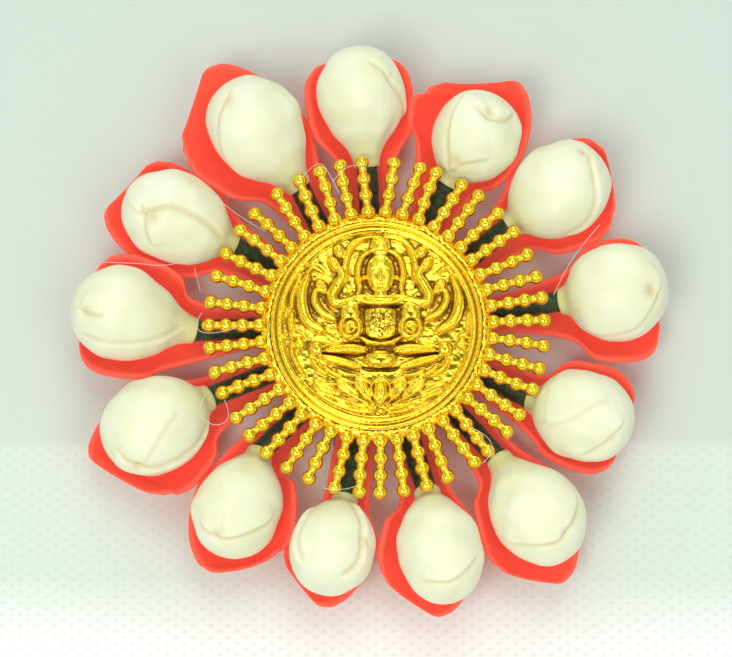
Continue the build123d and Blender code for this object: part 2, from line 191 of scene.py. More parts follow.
# Relief of the medal, in millimetres from the figure's axis and the medal's middle. All of
# it stands on both sides of the axis: a crowned, four-armed figure seated on a lotus.
figure_x = 0.6
domes = (
    Dome(0.0, 7.9, 2.25, 3.20, 0, 1.50),
    Dome(0.0, 12.0, 1.60, 1.9, 0, 1.15),
    Dome(0.0, 13.2, 0.55, 0.8, 0, 0.95),
    Dome(2.50, 7.2, 0.35, 0.6, 0, 0.95),
    Dome(0.0, 4.6, 1.2, 1.0, 0, 1.00),
    Dome(3.3, 3.7, 2.3, 1.1, -12, 1.05),
    Dome(0.0, 3.7, 2.6, 0.9, 0, 0.95),
    Dome(0.0, 0.5, 2.75, 3.3, 0, 1.15),
    Dome(4.55, 1.9, 1.5, 1.7, 0, 1.00),
    Dome(4.5, -0.3, 2.0, 2.1, 0, 0.95),
    Dome(5.4, -3.65, 3.7, 1.05, 2, 1.20),
    Dome(9.6, -3.6, 1.15, 1.2, 0, 1.00),
    Dome(5.9, -5.55, 3.5, 0.72, 15, 1.05),
    Dome(0.0, -5.2, 2.45, 1.45, 0, 1.30),
    Dome(6.2, 11.3, 0.9, 1.2, -20, 0.95),
    Dome(6.9, 9.3, 0.85, 1.5, -35, 1.05),
    Dome(8.9, 5.9, 0.85, 1.35, -25, 0.90),
    Dome(12.2, -2.9, 0.85, 0.85, 0, 0.75),
    Dome(0.0, -9.9, 1.05, 1.85, 0, 0.95),
    Dome(2.5, -9.7, 0.85, 2.0, -30, 0.75),
    Dome(5.0, -9.5, 0.80, 2.3, -50, 0.75),
    Dome(7.9, -9.6, 0.70, 2.3, -66, 0.70),
    Dome(2.5, -12.3, 0.42, 1.7, -76, 0.55),
    Dome(5.6, -11.8, 0.42, 1.6, -64, 0.55),
    Dome(0.0, -13.0, 0.60, 0.40, 0, 0.60),
)
strokes = (
    Stroke(0.55, 0.70, ((0.0, 13.9), (2.9, 13.3), (4.6, 11.7), (5.3, 9.2), (5.0, 7.4))),
    Stroke(0.50, 1.05, ((0.9, 11.6), (2.8, 10.3), (3.40, 7.9), (3.1, 5.7), (3.5, 4.6))),
    Stroke(0.92, 1.05, ((4.4, 3.8), (6.4, 3.3), (7.3, 4.4), (6.5, 6.2), (5.7, 7.6), (6.3, 8.9))),
    Stroke(0.40, 0.70, ((8.6, 8.0), (10.2, 8.9), (10.9, 8.0))),
    Stroke(0.90, 1.05, ((10.9, 7.6), (11.8, 5.0), (11.6, 2.2), (10.6, 0.3), (8.6, -0.9))),
    Stroke(0.66, 0.90, ((9.8, 5.4), (9.9, 3.6), (8.8, 1.9), (6.8, 0.8))),
    Stroke(0.50, 0.65, ((12.0, 7.9), (13.1, 5.3), (13.4, 2.6))),
    Stroke(0.55, 0.70, ((13.3, 1.9), (13.5, 0.2), (13.0, -1.4), (11.8, -1.7))),
    Stroke(0.38, 0.60, ((13.3, -2.4), (13.2, -4.4), (12.2, -6.6), (11.3, -7.9))),
    Stroke(0.42, 0.65, ((10.2, -5.2), (9.4, -6.5), (8.1, -7.5))),
    Stroke(0.38, 0.60, ((8.5, -6.1), (7.3, -7.2), (5.9, -7.8))),
    Stroke(0.38, 0.60, ((6.5, -6.8), (5.1, -7.5), (3.5, -7.7))),
    Stroke(0.24, 0.80, ((0.0, -7.9), (1.25, -8.9), (1.25, -10.4), (0.0, -12.0))),
    Stroke(0.24, 0.70, ((1.3, -9.0), (3.1, -7.95), (3.7, -9.2), (1.0, -11.9))),
    Stroke(0.24, 0.65, ((3.7, -8.9), (6.1, -8.1), (6.0, -9.6), (1.8, -12.0))),
    Stroke(0.24, 0.60, ((6.3, -9.0), (9.8, -8.9), (8.8, -10.3), (3.8, -11.9))),
    Stroke(0.26, 0.50, ((1.2, -13.3), (4.0, -12.9), (7.0, -11.8), (9.6, -10.2))),
    Stroke(0.30, 1.20, ((0.0, 4.2), (1.3, 4.3), (2.3, 4.9))),
    Stroke(0.34, 1.25, ((0.0, 3.2), (1.8, 3.3), (3.3, 3.8))),
    Stroke(0.45, 1.40, ((0.0, -2.95), (1.6, -2.75), (3.0, -2.0))),
)

# Small work on top of the domes: raised where the height is positive, cut where negative
touches = (
    Stroke(0.26, -0.60, ((0.0, 2.75), (1.7, 2.75), (3.3, 3.0))),
    Stroke(0.20, -0.40, ((2.5, 2.3), (2.45, 0.6), (2.3, -1.4))),
    Stroke(0.24, -0.50, ((0.0, -2.35), (1.5, -2.1), (2.7, -1.45))),
    Stroke(0.26, -0.60, ((2.4, -2.85), (4.6, -2.75), (7.0, -3.05), (8.7, -3.75))),
    Stroke(0.26, -0.55, ((2.3, -4.4), (5.2, -4.6), (8.4, -4.3))),
    Stroke(0.22, -0.45, ((2.6, -3.75), (5.0, -3.6), (7.8, -3.85))),
    Stroke(0.34, -0.60, ((0.0, -6.75), (1.7, -6.7), (2.7, -6.4))),
    Stroke(0.18, -0.40, ((3.2, -6.2), (5.6, -5.7), (8.2, -4.9))),
    Stroke(0.20, -0.30, ((0.0, -4.35), (1.3, -4.2), (2.2, -3.8))),
    Stroke(0.24, -0.60, ((3.5, -0.3), (3.8, 0.55), (4.6, 0.85), (5.4, 0.45), (5.6, -0.4), (5.2, -1.2),
                         (4.4, -1.4), (3.7, -1.0), (3.5, -0.3))),
    Stroke(0.20, -0.30, ((4.2, 0.1), (4.7, -0.1), (4.9, -0.7))),
    Stroke(0.20, -0.35, ((6.2, 1.5), (6.4, -0.3), (5.9, -1.8))),
    Stroke(0.20, 0.25, ((0.0, 10.5), (0.9, 10.3), (1.7, 9.6))),
    Stroke(0.20, 0.25, ((0.0, 11.5), (0.8, 11.4), (1.3, 11.0))),
    Stroke(0.20, 0.20, ((0.0, 12.7), (0.8, 12.6))),
    Stroke(0.14, 0.14, ((0.38, 8.56), (0.88, 8.74), (1.42, 8.46))),
    Stroke(0.17, 0.16, ((0.50, 8.00), (0.84, 8.07), (1.20, 7.97))),
    Stroke(0.22, 0.26, ((0.0, 8.4), (0.0, 6.9))),
    Stroke(0.17, 0.16, ((0.0, 6.72), (0.33, 6.76))),
    Stroke(0.14, 0.10, ((0.0, 6.18), (0.36, 6.18), (0.60, 6.07))),
    Stroke(0.11, -0.18, ((0.0, 5.98), (0.36, 6.00), (0.60, 6.05))),
    Stroke(0.15, 0.12, ((0.0, 5.76), (0.38, 5.80))),
    Stroke(0.16, -0.30, ((0.0, -8.7), (0.0, -10.2))),
    Stroke(0.16, -0.26, ((3.0, -8.6), (1.9, -10.7))),
    Stroke(0.16, -0.26, ((6.1, -8.6), (3.8, -10.5))),
    Stroke(0.16, -0.26, ((9.5, -9.3), (6.4, -10.4))),
    Stroke(0.24, -0.40, ((6.6, 9.0), (7.2, 9.9))),
    Stroke(0.26, -0.45, ((8.6, 5.4), (9.2, 6.4))),
    Stroke(0.20, -0.35, ((11.9, -3.0), (12.4, -2.8))),
)

# Radius and height over the field of the medal's rim
rim_profile = (
    (0.0, 0.0), (13.9, 0.0), (14.1, 0.10), (14.25, 0.45), (14.6, 0.56), (14.95, 0.50),
    (15.08, 0.08), (15.2, 0.08), (15.33, 0.62), (15.6, 0.74), (15.8, 0.62), (15.9, 0.40),
)

# Radius past the collar's inner edge and height over the rays' middle, around its cross-section
collar_section = (
    (-0.06, -0.75), (-0.06, 0.25), (0.10, 0.42), (0.35, 0.42), (0.65, 0.28), (0.95, 0.00),
    (1.40, -0.25), (1.40, -0.75),
)

# Unevenness of the casting: height, width and seed of random bumps
field_swell = Bumps(0.06, 1.6, 3)
field_pits = Bumps(0.02, 0.5, 4)
torso_grain = Bumps(0.10, 0.26, 5)
relief_grain = Bumps(0.012, 0.40, 6)
cast_grain = Bumps(0.012, 0.4, 7)
torso_speckle = Bumps(0.5, 0.26, 8)
ray_swell = Bumps(0.05, 2.5, 22)
collar_lumps = Bumps(0.26, 0.45, 23)

# Random heights come from a grid of this many cells, read from this place on. Each piece
# adds a step of its own, so that no two are alike.
rough_cells = 256
rough_start = (100.3, 100.7)


def polar(radius, bearing, height):
    angle = math.radians(bearing)
    return np.array((radius * math.cos(angle), radius * math.sin(angle), height))


def unit(vector):
    return vector / np.linalg.norm(vector, axis=-1, keepdims=True)


def smooth_step(value, low, high):
    share = np.clip((value - low) / (high - low), 0.0, 1.0)
    return share * share * (3.0 - 2.0 * share)


def curve_through(points, places, before=None, after=None):
    """Points of a smooth line through the given ones, at places counted in spans."""
    points = np.asarray(points, float)
    first = 2.0 * points[0] - points[1] if before is None else np.asarray(before, float)
    last = 2.0 * points[-1] - points[-2] if after is None else np.asarray(after, float)
    whole = np.vstack((first, points, last))
    places = np.asarray(places, float)
    span = np.clip(places.astype(int), 0, len(points) - 2)
    t = (places - span)[:, None]
    a, b, c, d = (whole[span + step] for step in range(4))
    return 0.5 * (
        2.0 * b + (c - a) * t + (2.0 * a - 5.0 * b + 4.0 * c - d) * t**2 + (3.0 * b - 3.0 * c + d - a) * t**3
    )


def even_curve(points, count):
    return curve_through(points, np.linspace(0.0, len(points) - 1.0, count))


def rough(x, y, cell, seed):
    """Smooth random heights from -1 to 1, with bumps about a cell wide."""
    grid = np.random.default_rng(seed).uniform(-1.0, 1.0, (rough_cells, rough_cells))
    u, v = x / cell + rough_start[0], y / cell + rough_start[1]
    i, j = np.floor(u).astype(int), np.floor(v).astype(int)
    s, t = u - i, v - j
    s, t = s * s * (3.0 - 2.0 * s), t * t * (3.0 - 2.0 * t)
    i0, j0 = i % rough_cells, j % rough_cells
    i1, j1 = (i + 1) % rough_cells, (j + 1) % rough_cells
    low = grid[i0, j0] * (1.0 - s) + grid[i1, j0] * s
    high = grid[i0, j1] * (1.0 - s) + grid[i1, j1] * s
    return low * (1.0 - t) + high * t


def bumpy(x, y, bumps):
    return bumps.height * rough(x, y, bumps.cell, bumps.seed)


def line_distance(points, line):
    """Distance of each point to a line of points, where along it, and the step's direction there."""
    best = np.full(len(points), 1e9)
    place = np.zeros(len(points))
    nearest = np.zeros_like(points)
    heading = np.zeros_like(points)
    for step in range(len(line) - 1):
        run = line[step + 1] - line[step]
        share = np.clip((points - line[step]) @ run / (run @ run), 0.0, 1.0)
        spot = line[step] + share[:, None] * run
        gap = np.linalg.norm(points - spot, axis=1)
        closer = gap < best
        best = np.where(closer, gap, best)
        place = np.where(closer, (step + share) / (len(line) - 1), place)
        nearest[closer] = spot[closer]
        heading[closer] = run
    return best, place, nearest, heading


def grid_quads(rows, columns, closed):
    """Faces of a grid of points, whose rows may close on themselves."""
    wide = columns if closed else columns - 1
    i, j = np.meshgrid(np.arange(rows - 1), np.arange(wide), indexing="ij")
    k = (j + 1) % columns
    quads = np.stack((i * columns + j, (i + 1) * columns + j, (i + 1) * columns + k, i * columns + k), -1)
    return quads.reshape(-1, 4).tolist()


def end_faces(rows, columns):
    """Faces that close both ends of a tube of points."""
    last = (rows - 1) * columns
    return [list(range(columns)), list(range(last + columns - 1, last - 1, -1))]


def new_object(name, data):
    thing = bpy.data.objects.new(name, data)
    bpy.context.scene.collection.objects.link(thing)
    return thing


def make_piece(name, points, faces, material, nodes=()):
    mesh = bpy.data.meshes.new(name)
    mesh.from_pydata((np.asarray(points) * MM).tolist(), [], faces)
    mesh.polygons.foreach_set("use_smooth", [True] * len(mesh.polygons))
    mesh.materials.append(material)
    mesh.update()
    piece = new_object(name, mesh)
    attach(piece, BODY)
    if nodes:
        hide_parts(*nodes)
    return piece


def note_values(piece, name, values):
    """Keeps a number, or three, for each point of a piece, for its material to read."""
    values = np.asarray(values, np.float32)
    kind = "FLOAT" if values.ndim == 1 else "FLOAT_VECTOR"
    field = "value" if values.ndim == 1 else "vector"
    piece.data.attributes.new(name, kind, "POINT").data.foreach_set(field, values.ravel())


# Materials, and their colours as shares of red, green and blue
gold_bright = (1.0, 0.74, 0.055)
gold_deep = (0.98, 0.64, 0.03)
# Dark brown mixed in as painted shade in the medal's hollows, and as a darker speckle on its torso
gold_shade_and_speckle = (0.17, 0.075, 0.010)
bud_pale = (0.78, 0.80, 0.61)
bud_yellow = (0.73, 0.75, 0.49)
bud_neck_green = (0.70, 0.72, 0.26)
# Darker yellow brown painted into the buds' grooves and dents as painted shade
bud_crease_shade = (0.66, 0.52, 0.24)
bud_glow = (1.0, 1.0, 0.84)
coral_light = (0.90, 0.082, 0.044)
coral_deep = (0.83, 0.064, 0.034)
# Lighter coral painted on the petals' rims as a painted highlight
coral_rim_highlight = (0.98, 0.115, 0.070)
coral_glow = (1.0, 0.15, 0.10)
stem_dark = (0.004, 0.012, 0.003)
stem_light = (0.030, 0.085, 0.012)
steel_light = (0.62, 0.60, 0.55)
steel_dark = (0.50, 0.48, 0.44)
wisp_light = (0.80, 0.77, 0.73)
wisp_dark = (0.66, 0.63, 0.60)
backdrop_green = (0.60, 0.68, 0.62)
cloth_white = (0.88, 0.89, 0.87)
cloth_shaded = (0.66, 0.76, 0.68)
cloth_knots = (0.56, 0.63, 0.57)


def set_inputs(tree, node, settings):
    """Sets inputs of a node, each to a value or to the output of another node."""
    for key, value in settings.items():
        if isinstance(value, bpy.types.NodeSocket):
            tree.links.new(value, node.inputs[key])
        else:
            node.inputs[key].default_value = value


def add_node(tree, kind, inputs, **settings):
    node = tree.nodes.new(kind)
    for key, value in settings.items():
        setattr(node, key, value)
    set_inputs(tree, node, inputs)
    return node


def new_material(name):
    """A material with its node tree, its shader and the place on the object."""
    material = bpy.data.materials.new(name)
    material.use_nodes = True
    tree = material.node_tree
    place = add_node(tree, "ShaderNodeTexCoord", {}).outputs["Object"]
    return material, tree, tree.nodes["Principled BSDF"], place


def noted(tree, name):
    """The values of this name that a piece keeps for its points."""
    return add_node(tree, "ShaderNodeAttribute", {}, attribute_name=name)


def noise_node(tree, vector, scale, detail=3.0, roughness=0.55):
    inputs = {"Vector": vector, "Scale": scale, "Detail": detail, "Roughness": roughness}
    return add_node(tree, "ShaderNodeTexNoise", inputs).outputs["Fac"]


def ramp_node(tree, value, low, high, low_out=0.0, high_out=1.0):
    inputs = {"Value": value, "From Min": low, "From Max": high, "To Min": low_out, "To Max": high_out}
    return add_node(tree, "ShaderNodeMapRange", inputs).outputs["Result"]


def mix_node(tree, factor, first, second):
    """Mixes two colours, each a colour or the output of another node."""
    inputs = {0: factor}
    for key, colour in ((6, first), (7, second)):
        inputs[key] = (*colour, 1.0) if isinstance(colour, tuple) else colour
    return add_node(tree, "ShaderNodeMix", inputs, data_type="RGBA").outputs[2]


def varied_colour(tree, noise, low, high, first, second):
    """Colour that goes from the first to the second as the noise goes from low to high."""
    return mix_node(tree, ramp_node(tree, noise, low, high), first, second)


def bump_node(tree, height, distance, strength=1.0, under=None):
    inputs = {"Strength": strength, "Distance": distance, "Height": height}
    if under is not None:
        inputs["Normal"] = under
    return add_node(tree, "ShaderNodeBump", inputs).outputs["Normal"]


def math_node(tree, operation, *values):
    return add_node(tree, "ShaderNodeMath", dict(enumerate(values)), operation=operation).outputs[0]


def gold_material():
    material, tree, shader, place = new_material("gold_cast")
    patches = noise_node(tree, place, 260.0)
    grain = noise_node(tree, place, 2600.0, 2.0)
    colour = varied_colour(tree, patches, 0.3, 0.7, gold_bright, gold_deep)
    # Painted shade: the medal's hollows, and its speckled torso, are mixed toward dark brown
    shade = ramp_node(tree, noted(tree, "hollow").outputs["Fac"], 0.20, 0.85, 0.0, 0.90)
    set_inputs(tree, shader, {
        "Base Color": mix_node(tree, shade, colour, gold_shade_and_speckle),
        "Metallic": 0.86,
        "Roughness": ramp_node(tree, patches, 0.3, 0.7, 0.07, 0.15),
        "Normal": bump_node(tree, grain, 0.000015),
    })
    return material


def bud_material():
    material, tree, shader, place = new_material("bud_cream")
    clouds = noise_node(tree, place, 170.0)
    veins = noise_node(tree, noted(tree, "grain").outputs["Vector"], 1.0, 2.0)
    cream = varied_colour(tree, clouds, 0.35, 0.70, bud_pale, bud_yellow)
    green = mix_node(tree, noted(tree, "neck").outputs["Fac"], cream, bud_neck_green)
    fine = bump_node(tree, veins, 0.00008, 0.7)
    set_inputs(tree, shader, {
        # Painted shade: the creases and dents are mixed toward a darker yellow brown
        "Base Color": mix_node(tree, noted(tree, "crease").outputs["Fac"], green, bud_crease_shade),
        "Roughness": 0.42,
        "Subsurface Weight": 0.25,
        "Subsurface Radius": (1.0, 0.9, 0.5),
        "Subsurface Scale": 0.0012,
        "Emission Color": (*bud_glow, 1.0),
        "Emission Strength": 0.07,
        "Normal": bump_node(tree, clouds, 0.00035, 0.6, fine),
    })
    return material


def petal_material():
    material, tree, shader, place = new_material("petal_coral")
    cells = noise_node(tree, place, 2600.0, 2.0)
    clouds = noise_node(tree, place, 140.0)
    body = varied_colour(tree, clouds, 0.3, 0.7, coral_light, coral_deep)
    fine = bump_node(tree, cells, 0.00005, 0.6)
    set_inputs(tree, shader, {
        # Painted highlight: the rims are mixed toward a lighter coral
        "Base Color": mix_node(tree, noted(tree, "rim").outputs["Fac"], body, coral_rim_highlight),
        "Roughness": 0.72,
        "Subsurface Weight": 0.15,
        "Subsurface Radius": (1.0, 0.25, 0.15),
        "Subsurface Scale": 0.0008,
        "Specular IOR Level": 0.15,
        "Emission Color": (*coral_glow, 1.0),
        "Emission Strength": 0.22,
        "Normal": bump_node(tree, clouds, 0.0005, 0.4, fine),
    })
    return material


def thread_material():
    material, tree, shader, place = new_material("stem_green")
    strands = noise_node(tree, place, 1400.0, 3.0)
    set_inputs(tree, shader, {
        "Base Color": varied_colour(tree, strands, 0.35, 0.70, stem_dark, stem_light),
        "Roughness": 0.62,
        "Sheen Weight": 0.3,
        "Normal": bump_node(tree, strands, 0.0002, 0.8),
    })
    return material


def steel_material():
    material, tree, shader, place = new_material("pin_steel")
    brushed = noise_node(tree, place, 900.0)
    set_inputs(tree, shader, {
        "Base Color": varied_colour(tree, brushed, 0.3, 0.7, steel_light, steel_dark),
        "Metallic": 1.0,
        "Roughness": ramp_node(tree, brushed, 0.3, 0.7, 0.28, 0.42),
    })
    return material


def wisp_material():
    material, tree, shader, place = new_material("thread_clear")
    twist = noise_node(tree, place, 900.0)
    set_inputs(tree, shader, {
        "Base Color": varied_colour(tree, twist, 0.3, 0.7, wisp_light, wisp_dark),
        "Roughness": 0.25,
    })
    return material


gold = gold_material()
bud_cream = bud_material()
petal_coral = petal_material()
stem_green = thread_material()
pin_steel = steel_material()
thread_clear = wisp_material()


# Medal
# The face is a square grid of cells bent to a disc. A hollow gets painted shade, as dark as it lies
# below the blurred face around it.
medal_cells = 296
hollow_blurs = 130
hollow_depth = 0.42
torso_y = 0.6
torso_half_width = 2.6
torso_half_height = 2.2
torso_darkness = 1.1
relief_end_r = 13.4
relief_fade = 0.8


def stroke_height(x, y, stroke):
    """Height of one raised or cut line of the relief, narrower at its ends."""
    line = even_curve(stroke.line, 4 * len(stroke.line))
    points = np.column_stack((x, y))
    distance, place, _, _ = line_distance(points, line)
    width = stroke.width * (0.4 + 0.6 * np.clip(4.0 * place * (1.0 - place), 0.0, 1.0) ** 0.4)
    return stroke.height * np.sqrt(np.clip(1.0 - (distance / width) ** 2, 0.0, 1.0))


def dome_height(x, y, dome):
    turn = math.radians(dome.turn)
    dx, dy = x - dome.x, y - dome.y
    along = (dx * math.cos(turn) + dy * math.sin(turn)) / dome.rx
    across = (dy * math.cos(turn) - dx * math.sin(turn)) / dome.ry
    return dome.height * np.clip(1.0 - along**2 - across**2, 0.0, 1.0) ** 0.45


def torso_share(x, y):
    """1 on the grained torso, fading to 0 around it."""
    across, along = (x - figure_x) / torso_half_width, (y - torso_y) / torso_half_height
    return np.exp(-(across**4) - along**4)


def relief_height(x, y):
    """Height of the medal's face over its field."""
    radius = np.hypot(x, y)
    side = np.abs(x - figure_x)
    height = bumpy(x, y, field_swell) + bumpy(x, y, field_pits)
    for dome in domes:
        height = np.maximum(height, dome_height(side, y, dome))
    for stroke in strokes:
        height = np.maximum(height, stroke_height(side, y, stroke))
    for stroke in touches:
        height += stroke_height(side, y, stroke)
    height += torso_share(x, y) * bumpy(x, y, torso_grain) + bumpy(x, y, relief_grain)
    height *= 1.0 - smooth_step(radius, relief_end_r, relief_end_r + relief_fade)
    rim_r, rim_h = np.array(rim_profile).T
    return height + np.interp(radius, rim_r, rim_h) + bumpy(x, y, cast_grain)


def blur(grid, times):
    for _ in range(times):
        padded = np.pad(grid, 1, mode="edge")
        around = padded[:-2, 1:-1] + padded[2:, 1:-1] + padded[1:-1, :-2] + padded[1:-1, 2:]
        grid = 0.5 * grid + 0.125 * around
    return grid


def build_medal():
    count = medal_cells + 1
    across = np.linspace(-1.0, 1.0, count)
    u, v = np.meshgrid(across, across, indexing="ij")
    wide = np.abs(u) > np.abs(v)
    larger = np.where(wide, u, v)
    safe = np.where(np.abs(larger) < 1e-9, 1e-9, larger)
    angle = np.where(wide, 0.25 * math.pi * v / safe, 0.5 * math.pi - 0.25 * math.pi * u / safe)
    x, y = larger * medal_r * np.cos(angle), larger * medal_r * np.sin(angle)
    height = blur(relief_height(x.ravel(), y.ravel()).reshape(count, count), 1)
    hollow = np.clip((blur(height, hollow_blurs) - height) / hollow_depth, 0.0, 1.0).ravel()
    # The grained torso is painted darker, in a random speckle
    speckle = 0.5 + bumpy(x.ravel(), y.ravel(), torso_speckle)
    grained = torso_darkness * torso_share(x.ravel(), y.ravel()) * speckle
    face = np.column_stack((x.ravel(), y.ravel(), field_z + height.ravel()))
    quads = grid_quads(count, count, False)
    last = count - 1
    border = [i * count for i in range(last)]
    border += [last * count + j for j in range(last)]
    border += [i * count + last for i in range(last, 0, -1)]
    border += list(range(last, 0, -1))
    low = face[border].copy()
    low[:, 2] = medal_back_z
    base = len(face)
    ring = len(border)
    for step in range(ring):
        after = (step + 1) % ring
        quads.append([border[step], border[after], base + after, base + step])
    quads.append([base + step for step in range(ring)])
    points = np.vstack((face, low))
    piece = make_piece("medallion_cast", points, quads, gold, ["medallion"])
    # These values carry the painted shade of the hollows and the darker speckle of the torso
    note_values(piece, "hollow", np.append(np.maximum(hollow, grained), np.zeros(ring)))


# Sunray ring
ray_columns = 20
ray_seed = 21
bead_rows = 12
collar_columns = 430
cast_neck_r = 0.64
cast_bead_r = 1.10
ray_bow = 0.18
ray_sink = 0.6
tip_lean_angle = 2.9


def ray_outline():
    """Places along a ray, and its radius there."""
    beads = [first_bead_reach - collar_width + bead_pitch * step for step in range(4)]
    along = [-ray_sink]
    radius = [cast_neck_r]
    for bead in beads:
        round_r = tip_bead_r if bead == beads[-1] else cast_bead_r
        meet = math.asin(cast_neck_r / round_r)
        end = 0.03 if bead == beads[-1] else meet
        for turn in np.linspace(math.pi - meet, end, bead_rows):
            along.append(bead + round_r * math.cos(turn))
            radius.append(round_r * math.sin(turn))
    return np.array(along), np.array(radius)


def build_rays():
    chance = np.random.default_rng(ray_seed)
    along, radius = ray_outline()
    turn = np.linspace(0.0, 2.0 * math.pi, ray_columns, endpoint=False)
    points = []
    faces = []
    for index in range(ray_count):
        even = ray_phase + index * 360.0 / ray_count
        bearing = even - ray_wander * math.cos(math.radians(even - ray_wander_bearing))
        root = polar(collar_outer_r, bearing, ray_z)
        heading = polar(1.0, bearing + tip_lean_angle * tip_leans[index], 0.0)
        across = np.array((-heading[1], heading[0], 0.0))
        bow = ray_bow * chance.uniform(-1.0, 1.0) * np.sin(along / along[-1] * math.pi)
        uneven = 1.0 + bumpy(along, np.full(len(along), index * 3.7), ray_swell)
        spine = root + along[:, None] * heading + bow[:, None] * across
        ring = np.cos(turn)[None, :, None] * across + np.sin(turn)[None, :, None] * np.array((0.0, 0.0, 1.0))
        body = spine[:, None, :] + (radius * uneven)[:, None, None] * ring
        base = sum(len(part) for part in points)
        points.append(body.reshape(-1, 3))
        faces += [[base + k for k in face] for face in grid_quads(len(along), ray_columns, True)]
        faces.append([base + k for k in range(ray_columns)])
    bearings = np.linspace(0.0, 2.0 * math.pi, collar_columns, endpoint=False)
    cross = np.array(collar_section)
    reach, level = np.meshgrid(collar_inner_r + cross[:, 0], bearings, indexing="ij")
    height = np.repeat(cross[:, 1][:, None], collar_columns, 1)
    x, y = reach * np.cos(level), reach * np.sin(level)
    lumps = bumpy(x.ravel(), y.ravel(), collar_lumps).reshape(x.shape) * (height > -0.5)
    collar = np.stack((x, y, ray_z + np.minimum(height + lumps, 0.5 * collar_height)), -1)
    base = sum(len(part) for part in points)
    points.append(collar.reshape(-1, 3))
    rows = len(cross)
    quads = grid_quads(rows, collar_columns, True)
    for step in range(collar_columns):
        after = (step + 1) % collar_columns
        quads.append([(rows - 1) * collar_columns + step, step, after, (rows - 1) * collar_columns + after])
    faces += [[base + k for k in face] for face in quads]
    make_piece("ray_ring_cast", np.vstack(points), faces, gold, ["ray_ring"])


# Buds
# A lip rises over its edge's width and dies away over its fold's spread, with a groove below
bud_rows = 80
bud_columns = 108
lip_edge = (-0.18, 0.16)
lip_end_share = 0.12
groove_place = 0.32
groove_width = 0.38
groove_share = 0.55
full_lip = 0.5
swell_height = 0.28
bud_seed = 40
neck_green = 0.75
neck_green_end = 0.16
streak_green = 0.30
streak_green_end = 0.42
streak_count = 3.0
vein_rows = 5.0
vein_columns = 14.0


def neck_point(bud):
    return polar(neck_reach * bud.neck_share, bud.neck_bearing, stem_z)


def bud_frame(bud):
    """Neck, axis, top and side directions of a bud."""
    tilt = math.radians(bud.tilt)
    axis = polar(math.cos(tilt), bud.bearing, math.sin(tilt))
    side = polar(1.0, bud.bearing + 90.0, 0.0)
    return neck_point(bud), axis, np.cross(axis, side), side


def bud_shares(bud):
    """Places along a bud, and its half width there as a share of the widest."""
    return [(along, share - bud.taper * cut) for along, share, cut in bud_profile]


def bud_outline(bud, places):
    """Distance along a bud's axis and radius, at places counted in rows of the profile."""
    outline = np.array(bud_shares(bud)) * (bud_length * bud.length, bud_half_width * bud.width)
    outline[0, 1] = bud_neck_half
    mirrored = outline[-2] * (1.0, -1.0)
    return curve_through(outline, places, after=mirrored)


def on_bud(bud, outline, along, turn):
    """Points on a bud at shares of its length and turns from its top."""
    neck, axis, above, side = bud_frame(bud)
    reach = np.asarray(along) * outline[-1, 0]
    radius = np.interp(reach, outline[:, 0], outline[:, 1])
    angle = np.radians(turn)
    outward = np.cos(angle)[:, None] * above + np.sin(angle)[:, None] * side
    return neck + reach[:, None] * axis + radius[:, None] * outward


